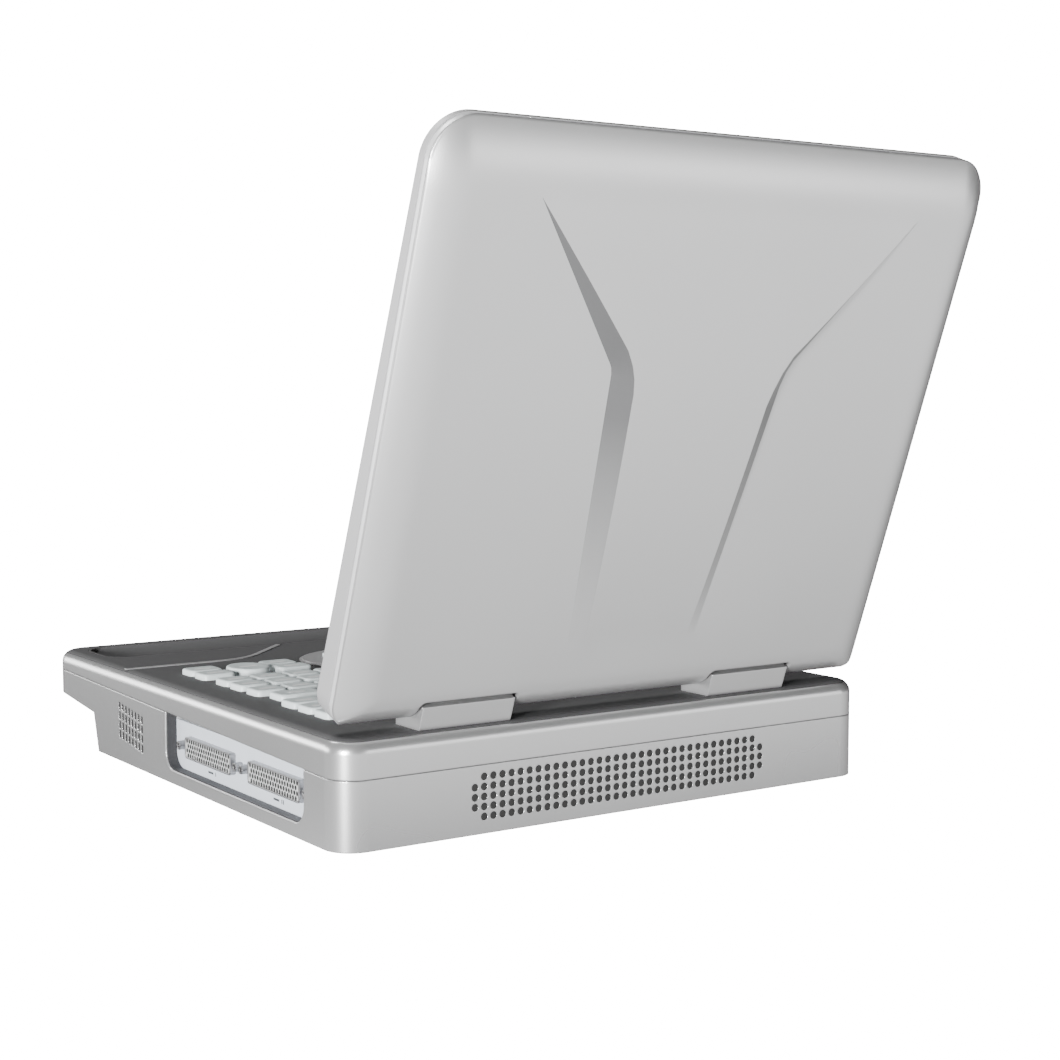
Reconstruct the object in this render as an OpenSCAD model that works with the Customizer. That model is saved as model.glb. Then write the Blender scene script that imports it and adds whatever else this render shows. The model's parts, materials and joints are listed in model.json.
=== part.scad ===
// Laptop ultrasound scanner: case with a carrying grip, keyed deck, probe ports
// and a folding display. X runs to the user's right, the user sits at -Y, Z is up.

/* [Case] */
// Case width
base_w = 309; // [280:1:340]
// Case depth, grip to rear face
base_d = 350; // [330:1:370]
// Height of the case top above the table
top_z = 52; // [48:0.5:60]
// Height of the rubber feet
foot_h = 2; // [1:0.5:5]
// Rounding of the two rear upright corners
rear_r = 14; // [8:1:20]
// Rounding of the two front upright corners
front_r = 17; // [12:1:24]
// Rounding of the top edge
edge_r = 6.5; // [3:0.5:8]
// Wall of the case shells
wall = 2.5; // [2:0.1:3.5]
// Height of the parting line at mid depth
part_z = 37.7; // [36:0.1:39]
// Rise of the parting line towards the user, in degrees
part_tilt = 1.25; // [0:0.05:2]

/* [Display] */
// Width of the display half
lid_w = 308; // [280:1:340]
// Height of the display half
lid_h = 273.9; // [250:0.1:290]
// How far the display leans back from upright
lid_lean = 20; // [0:1:28]
// Distance from the hinge line to the back of the display
lid_back_y = 17; // [15:0.5:19]
// Height of the hinge line above the table
hinge_z = 62.6; // [61:0.1:64]
// Hinge line from the middle of the case
hinge_y = 152.5; // [150:0.5:155]
// Visible width of the picture
view_w = 246; // [220:1:270]
// Visible height of the picture
view_h = 184.5; // [160:0.5:200]

/* [Keys] */
// How far the keys stand above the deck
key_rise = 3; // [2:0.1:4]
// Travel of a key
key_travel = 2; // [1:0.1:2.5]
// Gap around a key in the deck
key_gap = 0.4; // [0.3:0.1:0.5]
// Column spacing of the letter keys
key_pitch = 18.7; // [18.3:0.1:19]

/* [Ports] */
// Width of a probe socket
port_w = 53.5; // [45:0.5:60]
// Height of a probe socket
port_h = 10.9; // [9:0.1:14]
// Spacing of the two jack posts of a socket
jack_span = 66; // [60:0.1:72]
// Depth of the port panel below the side of the case
port_depth = 6; // [4:0.5:10]

/* [Vents] */
// Spacing of the rear vent holes
vent_pitch = 5; // [4:0.1:6]
// Diameter of a rear vent hole
vent_d = 3.5; // [2:0.1:4]

/* [Hidden] */
$fn = 64;
rear_y = 170;
front_y = rear_y - base_d;
side_x = base_w / 2;
bot_z = foot_h;
plate_t = 2.2;
plate_z = top_z - plate_t;
nose_y = -118;
trough_y = -143.2;
nose_z = 23;
seam = 0.15;
lid_bot = -5.5;
lid_top = lid_h + lid_bot;
lid_wedge = 1.72;
front_gap = 6.56;
rim_y = 8.6;
mid_y = 5.1;
notch_w = 52.5;
notch_top = 8.8;
block_w = 49;
block_x = [87, -79];
pin_r = 3;
port_y = [26.8, 99.6];
port_z = 22.2;
pocket_y = 59.5;
pocket_w = 154;
side_soft = 18;
top_soft = 30;
soft_drop = 7.4;
foot_soft = 20;
corner_top = 20;
corner_bot = 14;
panel_x = side_x - port_depth;
ball_y = -39.5;
ball_r = 17;
ball_z = top_z - 12.6;
fan_pos = [-95, 108, 0];
row_y = [-0.3, 16.6, 35.8, 54, 77, 94.2, 111.1];

// key: x, y, width, depth
k_a1 = [123.2, -40.9, 18.4, 14.4];
k_b1 = [123.2, -24.9, 18.4, 14];
k_a3 = [78.8, -41, 18.4, 14.4];
k_b3 = [78.4, -25, 19.4, 14];
k_f1 = [115.8, row_y[3], 24, 14.6];
k_l1 = [-123.2, -40.9, 18.4, 14.4];
k_l2 = [-123.2, -24.9, 18.4, 14];
k_sl = [-38, ball_y, 15, 30];
k_sr = [38, ball_y, 15, 30];
freeze = [101, -31, 11.4, 13.6];
power = [-122, -64, 6.5];
knob = [-92, -33, 14];

function letter(col, row) = [123 - col * key_pitch, row_y[row], 17.2, 14.6];
function edge_key(row) = [123.6, row_y[row], 18.4, 14.6];
function soft_here(c, r) = (r == 0 && (c == 3 || c > 10)) || (r > 0 && r < 3 && c > 2)
  || (r == 3 && c > 1) || (r > 3 && c > 0);

silver = [0.76, 0.77, 0.78];
dark = [0.36, 0.36, 0.37];
steel = [0.7, 0.7, 0.72];
keyc = [0.82, 0.85, 0.85];

// ---- shared shapes ----

module plan2d(g) {
  rf = front_r - g;
  rr = rear_r - g;
  w = side_x - g;
  y0 = front_y + g;
  y1 = rear_y - g;
  translate([-w, y0 + rf]) square([2 * w, y1 - rr - y0 - rf]);
  translate([-w + rf, y0]) square([2 * (w - rf), rf]);
  translate([-w + rr, y1 - rr]) square([2 * (w - rr), rr]);
  for (s = [-1, 1]) {
    translate([s * (w - rf), y0 + rf]) circle(rf);
    translate([s * (w - rr), y1 - rr]) circle(rr);
  }
}

// Half section of a slab with one rounded upper edge: r out, h high, e round.
module edge_half(r, h, e) {
  square([r, h - e]);
  square([r - e, h]);
  intersection() {
    translate([r - e, h - e]) circle(e);
    square([r, h]);
  }
}

// Prism of the case plan with a rounded top edge.
module soft_slab(g, z0, z1, e) {
  h = z1 - z0;
  rf = front_r - g;
  rr = rear_r - g;
  w = side_x - g;
  y0 = front_y + g;
  y1 = rear_y - g;
  translate([0, 0, z0]) {
    for (s = [0, 1]) mirror([s, 0, 0]) {
      translate([w - rr, y1 - rr, 0]) rotate_extrude(angle = 90) edge_half(rr, h, e);
      translate([w - rf, y0 + rf, 0]) rotate(-90) rotate_extrude(angle = 90) edge_half(rf, h, e);
      translate([0, y1 - rr, 0]) rotate([90, 0, 0]) linear_extrude(y1 - rr - y0 - rf) edge_half(w, h, e);
    }
    translate([rr - w, y1 - rr, 0]) rotate([90, 0, 90]) linear_extrude(2 * (w - rr)) edge_half(rr, h, e);
    translate([w - rf, y0 + rf, 0]) rotate([90, 0, -90]) linear_extrude(2 * (w - rf)) edge_half(rf, h, e);
  }
}

// Everything above (s = 1) or below (s = -1) the tilted parting plane.
module part_side(s) {
  translate([0, 0, part_z + s * seam]) rotate([-part_tilt, 0, 0])
    translate([-300, -300, s > 0 ? 0 : -200]) cube([600, 600, 200]);
}

// Space under the overhanging front; g moves it into the case.
module nose_cut(g) {
  rotate([90, 0, 90]) translate([0, 0, -300]) linear_extrude(600) {
    polygon([[nose_y + g, nose_z + g], [nose_y + 6.5 + g, bot_z], [nose_y + 7.5 + g, -20],
             [-260, -20], [-260, nose_z + g + 14.2], [front_y - 5, nose_z + g + 6.7]]);
    difference() {
      translate([front_y - 2 + g, nose_z + 2 + g]) square([7.4, 9.63]);
      translate([front_y + 6 + g, nose_z + 11.63 + g]) circle(6);
    }
  }
}

module rbox2d(w, d, r) {
  square([w - 2 * r, d], center = true);
  square([w, d - 2 * r], center = true);
  for (x = [-1, 1], y = [-1, 1]) translate([x * (w / 2 - r), y * (d / 2 - r)]) circle(r);
}

// Oval from four arcs, half length a, half width b, end radius r.
module oval2d(a, b, r) {
  big = (pow(a - r, 2) + b * b - r * r) / (2 * (b - r));
  xt = (a - r) * big / (big - r);
  for (s = [-1, 1]) translate([s * (a - r), 0]) circle(r);
  intersection() {
    translate([0, b - big]) circle(big, $fn = 128);
    translate([0, big - b]) circle(big, $fn = 128);
    square([2 * xt, 4 * b], center = true);
  }
}

module key_holes() {
  for (k = [k_a1, k_b1, k_a3, k_b3, k_f1, k_l1, k_l2]) key_hole(k);
  for (c = [0, 1, 2], r = [0, 1, 2]) key_hole(letter(c, r));
  for (r = [4, 5, 6]) key_hole(edge_key(r));
  translate([freeze[0], freeze[1]]) rotate(90)
    oval2d(freeze[3] + key_gap, freeze[2] + key_gap, 10 + key_gap);
  for (r = [0 : 6], c = [0 : 13]) if (soft_here(c, r)) key_hole(letter(c, r));
  translate([power[0], power[1]]) circle(power[2] + key_gap);
  translate([knob[0], knob[1]]) circle(4);
}

module key_hole(k) {
  translate([k[0], k[1]]) rbox2d(k[2] + 2 * key_gap, k[3] + 2 * key_gap, 3 + key_gap);
}

module at_ports() {
  for (y = port_y) translate([panel_x, y, port_z]) rotate([90, 0, 90]) children();
}

// Four corner feet and one under the keyboard.
module foot_spots() {
  for (x = [-1, 1], y = [-80, 132]) translate([x * 115, y, 0]) children();
  children();
}

module screw_spots() {
  for (x = [-1, 1], y = [-92, 30, 148]) translate([x * 138, y, 0]) children();
}

// ---- case ----

module bottom_case() {
  color(silver) difference() {
    intersection() {
      difference() {
        translate([0, 0, bot_z]) linear_extrude(60) plan2d(0);
        nose_cut(0);
      }
      part_side(-1);
    }
    difference() {
      translate([0, 0, bot_z + wall]) linear_extrude(60) plan2d(wall);
      nose_cut(wall);
      screw_spots() translate([0, 0, -1]) cylinder(d = 9, h = 60);
      port_pocket(wall);
    }
    port_pocket(0);
    screw_spots() {
      translate([0, 0, bot_z - 1]) cylinder(d = 6.4, h = 4.1);
      translate([0, 0, bot_z - 1]) cylinder(d = 3.4, h = 60);
    }
    at_ports() translate([0, 0, -12]) {
      linear_extrude(13) rbox2d(port_w - 3.2, port_h - 3.2, 1);
      for (s = [-1, 1]) translate([s * jack_span / 2, 0, 0]) cylinder(d = 3.2, h = 13);
    }
    rear_vent();
    side_slots(1);
    side_slots(-1);
    inlet_hole();
    foot_spots() translate([0, 0, bot_z - 1]) cylinder(d = 18.2, h = 2);
  }
}

// Recess for the probe ports, open at the parting line; g is the wall around it.
module port_pocket(g) {
  x0 = panel_x - 2 - g;
  translate([x0, pocket_y, 0]) rotate([90, 0, 90]) linear_extrude(30)
      difference() {
        translate([0, 29.05]) rbox2d(pocket_w + 2 * g, 40 + 2 * g, 9);
        translate([-100, 60]) square([200, 20]);
      }
}

module rear_vent() {
  for (c = [-17 : 17], r = [0 : 4])
    if (abs(c) < 17 || (r > 0 && r < 4))
      translate([c * vent_pitch, rear_y + 1, 28.55 - r * 4.62]) rotate([90, 0, 0])
        cylinder(d = vent_d, h = wall + 3, $fn = 20);
}

module side_slots(s) {
  for (c = [0 : 7], r = [0 : 3])
    translate([s * side_x, -79.5 + c * 4.37 + r * 0.06, 32.25 - r * 5.1 - c * 0.475])
      rotate([90, 0, 90]) translate([0, 0, -5]) linear_extrude(10) rbox2d(2.5, 4.1, 0.9);
}

module inlet_hole() {
  translate([-side_x - 1, 110, 22]) rotate([90, 0, 90]) linear_extrude(8) rbox2d(28.4, 20.4, 3);
}

module top_case() {
  color(silver) difference() {
    intersection() {
      soft_slab(0, 20, top_z, edge_r);
      part_side(1);
    }
    difference() {
      intersection() {
        translate([0, 0, 10]) linear_extrude(plate_z - wall - 10) plan2d(wall);
        part_zone();
      }
      screw_spots() cylinder(d = 8, h = 60);
      trough_block(2.6);
    }
    deck_pocket();
    trough_block(0.1);
    translate([0, 20, 40]) linear_extrude(30) rbox2d(280, 224, 6);
    screw_spots() translate([0, 0, 20]) cylinder(d = 2.6, h = 25.5);
  }
}

module part_zone() {
  translate([-200, -200, 0]) cube([400, 400, 100]);
}

// Seat of the dark deck.
module deck_pocket() {
  translate([0, 0, plate_z]) linear_extrude(20) plan2d(2.7);
}

module deck_plate() {
  color(dark) difference() {
    intersection() {
      soft_slab(0, 20, top_z, edge_r);
      translate([0, 0, plate_z]) linear_extrude(20) plan2d(2.9);
    }
    translate([0, 0, plate_z - 1]) linear_extrude(10) key_holes();
    trough_block(0.1);
    translate([0, ball_y, 0]) linear_extrude(100) oval2d(59, 38, 30);
  }
}

// Outer block of the grip trough.
module trough_block(g) {
  translate([0, trough_y, top_z - 11 - g]) linear_extrude(30)
    rbox2d(286 + 2 * g, 46.5 + 2 * g, 15);
}

module grip_trough() {
  color(dark) difference() {
    translate([0, trough_y, top_z - 11]) linear_extrude(11) rbox2d(286, 46.5, 15);
    intersection() {
      translate([-160, trough_y, top_z + 22.4]) rotate([0, 90, 0]) cylinder(r = 31.4, h = 320, $fn = 160);
      translate([0, trough_y, 0]) linear_extrude(100) rbox2d(282.6, 44.8, 13.5);
    }
  }
}

// Light line that sweeps from each side of the deck to the grip.
module deck_inlay() {
  color(silver) for (s = [0, 1]) mirror([s, 0, 0]) translate([95, -114.6, top_z]) linear_extrude(0.4)
    polygon(concat([[56.5, 38.6]], inlay_arc(38.6, 90, 135), [inlay_end(38.6), inlay_end(35.4)],
                   inlay_arc(35.4, 135, 90), [[56.5, 35.4]]));
}

function inlay_arc(r, a, b) = [for (i = [0 : 12]) r * [cos(a + (b - a) * i / 12), sin(a + (b - a) * i / 12)]];
function inlay_end(r) = r * [cos(135), sin(135)] + 40.5 * [-sin(135), cos(135)];

module rubber_feet() {
  color([0.12, 0.12, 0.12]) foot_spots() cylinder(d = 18, h = foot_h + 1);
}

module case_screws() {
  color(steel) screw_spots() difference() {
    union() {
      translate([0, 0, bot_z + 0.8]) cylinder(d = 6, h = 2.2);
      translate([0, 0, bot_z + 2.9]) cylinder(d = 2.6, h = 38);
    }
    translate([0, 0, bot_z]) cylinder(d = 3, h = 2, $fn = 6);
  }
}

// ---- ports ----

module port_panel() {
  color([0.8, 0.83, 0.86]) translate([panel_x - 2, pocket_y, 0]) rotate([90, 0, 90]) difference() {
    linear_extrude(2) intersection() {
      translate([0, 29.05]) rbox2d(pocket_w - 0.5, 39.6, 9);
      translate([-100, -1]) square([200, 35]);
    }
    for (y = port_y) translate([y - pocket_y, port_z, -1]) {
      linear_extrude(4) rbox2d(port_w - 3.4, port_h - 3.4, 1);
      for (s = [-1, 1]) translate([s * jack_span / 2, 0, 0]) cylinder(d = 3.2, h = 4);
    }
  }
}

module probe_socket(i) {
  color(steel) translate([panel_x, port_y[i], port_z]) rotate([90, 0, 90]) difference() {
    linear_extrude(3.2) rbox2d(port_w, port_h, 1.6);
    translate([0, 0, -1]) linear_extrude(6) rbox2d(port_w - 1.6, port_h - 1.6, 0.9);
  }
}

module probe_insert(i) {
  color([0.85, 0.86, 0.86]) translate([panel_x, port_y[i], port_z]) rotate([90, 0, 90]) {
    linear_extrude(2.9) rbox2d(port_w - 1.8, port_h - 1.8, 0.8);
    translate([0, 0, -8]) linear_extrude(8.5) rbox2d(port_w - 3.6, port_h - 3.6, 0.9);
  }
}

module jack_posts() {
  color(steel) for (y = port_y, s = [-1, 1])
    translate([panel_x, y + s * jack_span / 2, port_z]) rotate([90, 0, 90]) difference() {
      union() {
        cylinder(d = 4.8, h = 4, $fn = 6);
        translate([0, 0, -6]) cylinder(d = 3, h = 6.5);
      }
      translate([0, 0, -4]) cylinder(d = 2.2, h = 10);
    }
}

module power_inlet() {
  color([0.15, 0.15, 0.15]) translate([-side_x + 0.4, 110, 22]) rotate([90, 0, 90]) difference() {
    union() {
      linear_extrude(16) rbox2d(28, 20, 3);
      translate([0, 0, wall]) linear_extrude(2) rbox2d(33, 25, 3);
    }
    translate([0, 0, -1]) linear_extrude(12) rbox2d(23, 15, 3);
  }
}

// ---- deck controls ----

module key_cap(k) {
  color(keyc) translate([k[0], k[1], 0]) {
    translate([0, 0, plate_z - 1.6]) linear_extrude(1.2) rbox2d(k[2] + 0.8, k[3] + 0.7, 2.6);
    translate([0, 0, plate_z - 0.5]) linear_extrude(top_z + key_rise - 0.7 - plate_z + 0.5)
      rbox2d(k[2], k[3], 3);
    translate([0, 0, top_z + key_rise - 0.8]) linear_extrude(0.8) rbox2d(k[2] - 1.2, k[3] - 1.2, 2.4);
    translate([0, 0, plate_z - 3.2]) cylinder(d = 6, h = 2);
  }
}

module key_freeze() {
  color(keyc) translate([freeze[0], freeze[1], 0]) rotate(90) {
    translate([0, 0, plate_z - 1.6]) linear_extrude(1.2) oval2d(freeze[3] + 0.8, freeze[2] + 0.8, 10.8);
    translate([0, 0, plate_z - 0.5]) linear_extrude(plate_t + 0.5 + key_rise)
      oval2d(freeze[3], freeze[2], 10);
    translate([0, 0, top_z + key_rise - 0.3]) linear_extrude(1)
      oval2d(freeze[3] - 0.7, freeze[2] - 0.7, 9.3);
    translate([0, 0, plate_z - 3.2]) cylinder(d = 8, h = 2);
  }
}

module letter_keypad() {
  color(keyc) translate([0, 0, plate_z - 1.6]) {
    linear_extrude(1.4) {
      translate([-129.5, 8.5]) square([205.3, 112]);
      translate([57, -8.5]) square([18.8, 20]);
      translate([-129.5, -8.5]) square([56, 20]);
      translate([70, 46]) square([24.6, 16]);
      translate([70, 68.5]) square([43.4, 52]);
    }
    for (r = [0 : 6], c = [0 : 13]) if (soft_here(c, r)) {
      k = letter(c, r);
      translate([k[0], k[1], 0]) {
        linear_extrude(top_z + key_rise - 0.7 - plate_z + 1.6) rbox2d(k[2], k[3], 3);
        linear_extrude(top_z + key_rise - plate_z + 1.6) rbox2d(k[2] - 1.2, k[3] - 1.2, 2.4);
      }
    }
  }
}

module ball_surround() {
  color([0.55, 0.55, 0.56]) translate([0, ball_y, 0]) difference() {
    union() {
      translate([0, 0, plate_z]) linear_extrude(plate_t + 0.6) oval2d(58.6, 37.6, 29.6);
      translate([0, 0, top_z + 0.2]) linear_extrude(0.7) oval2d(62, 41, 33);
      translate([0, 0, top_z + 0.8]) linear_extrude(0.8) oval2d(60.6, 39.6, 31.6);
      translate([0, 0, ball_z - 3]) cylinder(r = ball_r + 3, h = plate_z + 4 - ball_z);
    }
    translate([0, 0, ball_z]) sphere(ball_r + 0.5, $fn = 96);
    for (k = [k_sl, k_sr]) translate([k[0], 0, plate_z - 1]) linear_extrude(10)
      rbox2d(k[2] + 2 * key_gap, k[3] + 2 * key_gap, 4 + key_gap);
  }
}

module trackball() {
  color([0.3, 0.32, 0.36]) translate([0, ball_y, ball_z]) sphere(ball_r, $fn = 96);
}

module select_key(k) {
  color(keyc) translate([k[0], k[1], 0]) {
    translate([0, 0, plate_z - 1.5]) linear_extrude(1.2) rbox2d(k[2] + 1.8, k[3] + 1.8, 4);
    translate([0, 0, plate_z - 0.5]) linear_extrude(plate_t + 3.9) rbox2d(k[2], k[3], 4);
    translate([0, 0, plate_z - 3.2]) cylinder(d = 6, h = 2);
  }
}

module gain_knob() {
  color([0.25, 0.25, 0.26]) translate([knob[0], knob[1], 0]) difference() {
    union() {
      translate([0, 0, top_z + 0.4]) cylinder(r = knob[2], h = 3.4);
      translate([0, 0, top_z + 3.8]) cylinder(r1 = knob[2], r2 = knob[2] - 0.8, h = 0.8);
      translate([0, 0, plate_z - 3.4]) cylinder(d = 6, h = 7);
    }
    for (a = [0 : 20 : 340]) rotate(a) translate([knob[2] + 0.6, 0, top_z]) cylinder(r = 1.2, h = 12, $fn = 20);
    translate([-0.6, 5, top_z + 4.1]) cube([1.2, 7.5, 2]);
  }
}

module power_button() {
  color(keyc) translate([power[0], power[1], 0]) {
    translate([0, 0, plate_z - 1.6]) cylinder(r = power[2] + 1.2, h = 1.2);
    translate([0, 0, plate_z - 0.5]) cylinder(r = power[2], h = plate_t + 2.1);
    translate([0, 0, plate_z - 3.2]) cylinder(d = 6, h = 2);
  }
}

// ---- inside the case ----

module key_board() {
  color([0.1, 0.3, 0.16]) difference() {
    translate([0, 14, plate_z - 6.6]) linear_extrude(1.4) rbox2d(262, 208, 4);
    translate([0, ball_y, 0]) cylinder(r = ball_r + 5, h = 90);
    translate([knob[0], knob[1], 0]) cylinder(r = 4, h = 90);
  }
}

module main_board() {
  color([0.08, 0.32, 0.18]) {
    translate([-40, 30, 14]) linear_extrude(1.6) rbox2d(150, 175, 4);
    for (x = [-90, -50, -10]) translate([x - 12, 30, 15.5]) cube([22, 22, 3]);
    translate([-60, -45, 15.5]) cube([60, 24, 4]);
    for (x = [-105, 25], y = [-50, 108]) translate([x, y, bot_z + wall]) cylinder(d = 6, h = 10);
  }
}

module front_end_box() {
  color(steel) difference() {
    translate([46, -15, bot_z + wall + 2]) cube([84, 155, 25]);
    translate([47, -14, bot_z + wall + 3]) cube([82, 153, 23]);
    for (y = port_y) translate([120, y - 26, port_z - 6]) cube([20, 52, 12]);
  }
}

module battery_pack() {
  color([0.2, 0.2, 0.22]) translate([0, -84, bot_z + wall]) linear_extrude(22) rbox2d(190, 44, 4);
}

module fan_housing() {
  color([0.13, 0.13, 0.13]) translate([fan_pos[0], 143, 21]) rotate([90, 0, 0]) difference() {
    translate([-15, -15, -7.5]) cube([30, 30, 15]);
    translate([0, 0, -5]) cylinder(d = 28, h = 20);
    for (x = [-1, 1], y = [-1, 1]) translate([x * 12.6, y * 12.6, -10]) cylinder(d = 2.4, h = 30);
    translate([0, 0, -10]) difference() {
      cylinder(d = 28, h = 10);
      cylinder(d = 13, h = 10);
      for (a = [0, 120, 240]) rotate(a) translate([-1, 0, 0]) cube([2, 20, 12]);
    }
  }
}

module fan_rotor() {
  color([0.2, 0.2, 0.2]) translate([fan_pos[0], 143, 21]) rotate([90, 0, 0]) {
    translate([0, 0, -4.5]) cylinder(d = 12.5, h = 11);
    for (a = [0 : 51.43 : 355]) rotate(a) translate([5.5, 0, 0]) rotate([35, 0, 0])
      translate([0, -4, -0.5]) cube([7.2, 8, 1]);
  }
}

module dust_filter() {
  color([0.1, 0.1, 0.1]) translate([-92, rear_y - wall - 2.2, 5.5]) cube([184, 2, 27]);
}

// ---- display ----

module lid_place() {
  translate([0, hinge_y, hinge_z]) rotate([-lid_lean, 0, 0]) children();
}

// Outline of the display half in its own plane.
module lid2d(g) {
  rt = corner_top - g;
  rb = max(corner_bot - g, 1);
  w = lid_w / 2 - g;
  z0 = lid_bot + g;
  z1 = lid_top - g;
  translate([-w, z0 + rb]) square([2 * w, z1 - rt - z0 - rb]);
  translate([-w + rt, z1 - rt]) square([2 * (w - rt), rt]);
  translate([-w + rb, z0]) square([2 * (w - rb), rb]);
  for (s = [-1, 1]) {
    translate([s * (w - rt), z1 - rt]) circle(rt);
    translate([s * (w - rb), z0 + rb]) circle(rb);
  }
}

// Slab between two planes behind the screen; y0 < y1.
module lid_slab(g, y0, y1) {
  translate([0, y1, 0]) rotate([90, 0, 0]) linear_extrude(y1 - y0) lid2d(g);
}

module notches(g) {
  for (x = block_x) translate([x, 40, 0]) rotate([90, 0, 0]) linear_extrude(80) {
    translate([-notch_w / 2 - g, lid_bot - 20]) square([notch_w + 2 * g, 20 + notch_top - lid_bot + g - 3]);
    translate([-notch_w / 2 - g + 3, lid_bot - 20]) square([notch_w + 2 * g - 6, 20 + notch_top - lid_bot + g]);
    for (s = [-1, 1]) translate([s * (notch_w / 2 + g - 3), notch_top + g - 3]) circle(3);
  }
}

// Radius of an arc that leaves the flat a before the edge and has dropped b there.
function soft_r(a, b) = (a * a + b * b) / (2 * b);

// Everything in front of the softly curved sides of the back.
module back_curve() {
  rs = soft_r(side_soft, soft_drop);
  ws = lid_w / 2 - side_soft;
  translate([0, 0, -40]) linear_extrude(400) {
    translate([-ws, -30]) square([2 * ws, 30 + lid_back_y]);
    for (s = [-1, 1]) translate([s * ws, lid_back_y - rs]) circle(rs, $fn = 128);
  }
}

module top_curve() {
  rt = soft_r(top_soft, soft_drop);
  zt = lid_top - top_soft;
  translate([-200, 0, 0]) rotate([90, 0, 90]) linear_extrude(400) {
    translate([-30, -40]) square([30 + lid_back_y, 40 + zt]);
    translate([lid_back_y - rt, zt]) circle(rt, $fn = 160);
  }
}

// The lower edge curls forward under the display; g moves it inwards.
module foot_curve(g) {
  translate([-200, 0, 0]) rotate([90, 0, 90]) linear_extrude(400) {
    translate([-30, lid_bot + foot_soft]) square([30 + lid_back_y - g, 300]);
    translate([-30, lid_bot + g]) square([30 + lid_back_y - foot_soft, 100]);
    translate([lid_back_y - foot_soft, lid_bot + foot_soft]) circle(foot_soft - g, $fn = 96);
  }
}

module lid_back() {
  color(silver) lid_place() difference() {
    intersection() {
      lid_slab(0, rim_y, lid_back_y);
      back_curve();
      top_curve();
      foot_curve(0);
    }
    difference() {
      intersection() {
        union() {
          lid_slab(wall, rim_y - 1, 8.9);
          lid_slab(9, rim_y - 1, 11.2);
          lid_slab(18, rim_y - 1, 14.3);
        }
        foot_curve(wall);
      }
      notches(2);
      for (x = [-1, 1], z = [30, 235]) translate([x * 140, 20, z]) rotate([90, 0, 0]) cylinder(d = 8, h = 30);
    }
    notches(0);
    for (x = [-1, 1], z = [30, 235]) translate([x * 140, lid_back_y - wall, z]) rotate([90, 0, 0]) cylinder(d = 2.2, h = 20);
    pin_path();
    for (s = [-1, 1]) crease(s);
  }
}

// Shallow facet that runs down the back from a sharp tip.
module crease(s) {
  translate([0, lid_back_y + 20.2, 0]) rotate([90, 0, 0]) linear_extrude(21)
    polygon([[s * 106, 239.5], [s * 51.5, 169], [s * 49.4, 163], [s * 38, 34],
             [s * 34, 40], [s * 40, 158], [s * 41.5, 166], [s * 47, 177]]);
}

module pin_path() {
  for (x = block_x) translate([x - 45, 0, 0]) rotate([0, 90, 0]) cylinder(r = pin_r + 1, h = 90);
}

module lid_rim() {
  color([0.85, 0.86, 0.87]) lid_place() difference() {
    intersection() {
      lid_slab(0.4, mid_y, rim_y);
      foot_curve(0.3);
    }
    difference() {
      lid_slab(6, mid_y - 1, rim_y + 1);
      notches(2);
    }
    notches(0);
    pin_path();
  }
}

// Front bezel: a wedge, thick at the hinge and thin at the top.
module wedge_side(g) {
  translate([0, -front_gap + g, 0]) rotate([-lid_wedge, 0, 0])
    translate([-250, 0, -80]) cube([500, 60, 420]);
}

module view_box(g, h) {
  translate([-view_w / 2 - g, -30, 150 - view_h / 2 - g]) cube([view_w + 2 * g, h, view_h + 2 * g]);
}

module lid_bezel() {
  color([0.62, 0.63, 0.64]) lid_place() difference() {
    intersection() {
      lid_slab(0, -20, mid_y);
      wedge_side(0);
      foot_round();
      foot_curve(0);
    }
    difference() {
      intersection() {
        lid_slab(wall, -20, mid_y + 1);
        wedge_side(wall);
      }
      notches(2);
      translate([-200, -20, lid_bot]) cube([400, 30, 7]);
    }
    view_box(0, 60);
    intersection() {
      view_box(3, 60);
      wedge_side(1.6);
    }
    notches(0);
    pin_path();
    for (x = block_x, s = [-1, 1]) translate([x + s * 33.4, 0, 0]) cube([10.6, 8.6, 8.6], center = true);
    for (x = [-1, 1], z = [30, 235]) translate([x * 140, 10, z]) rotate([90, 0, 0]) {
      cylinder(d = 3.4, h = 30);
    }
  }
}

// Keeps the lower front edge of the display clear of the deck as it folds.
module foot_round() {
  translate([-250, -front_gap - 2, lid_bot + 3]) cube([500, 40, 400]);
  translate([-250, 3 - front_gap, lid_bot]) cube([500, 40, 400]);
  translate([-250, 3 - front_gap, lid_bot + 3]) rotate([0, 90, 0]) cylinder(r = 3, h = 500);
}

module screen_glass() {
  color([0.05, 0.06, 0.08]) lid_place() intersection() {
    view_box(2.6, 60);
    difference() {
      wedge_side(1.9);
      wedge_side(3.4);
    }
  }
}

module lcd_panel() {
  color([0.3, 0.32, 0.34]) lid_place() translate([-131, mid_y + 1.2, 52]) cube([262, 4.6, 196]);
}

module lid_bumpers() {
  color([0.15, 0.15, 0.15]) lid_place() for (x = [-135, 135], z = [24, 252])
    translate([x, -front_gap + z * tan(lid_wedge), z]) rotate([90 - lid_wedge, 0, 0]) cylinder(d = 9, h = 3.7);
}

module lid_screws() {
  color(steel) lid_place() for (x = [-1, 1], z = [30, 235])
    translate([x * 140, -front_gap + z * tan(lid_wedge) + 0.6, z]) rotate([-90 - lid_wedge, 0, 0]) {
      cylinder(d = 3, h = 1.6);
    }
}

// ---- hinges ----

module block_profile() {
  intersection() {
    union() {
      circle(8);
      translate([0, -20]) square([24, 28]);
      translate([-8, -20]) square([20, 20]);
    }
    rotate(-lid_lean) translate([-60, -60]) square([60 + lid_back_y - 1.5, 120]);
    rotate(62 - 90) translate([-60, -60]) square([120, 68]);
    translate([-60, top_z - hinge_z]) square([120, 60]);
  }
}

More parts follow.
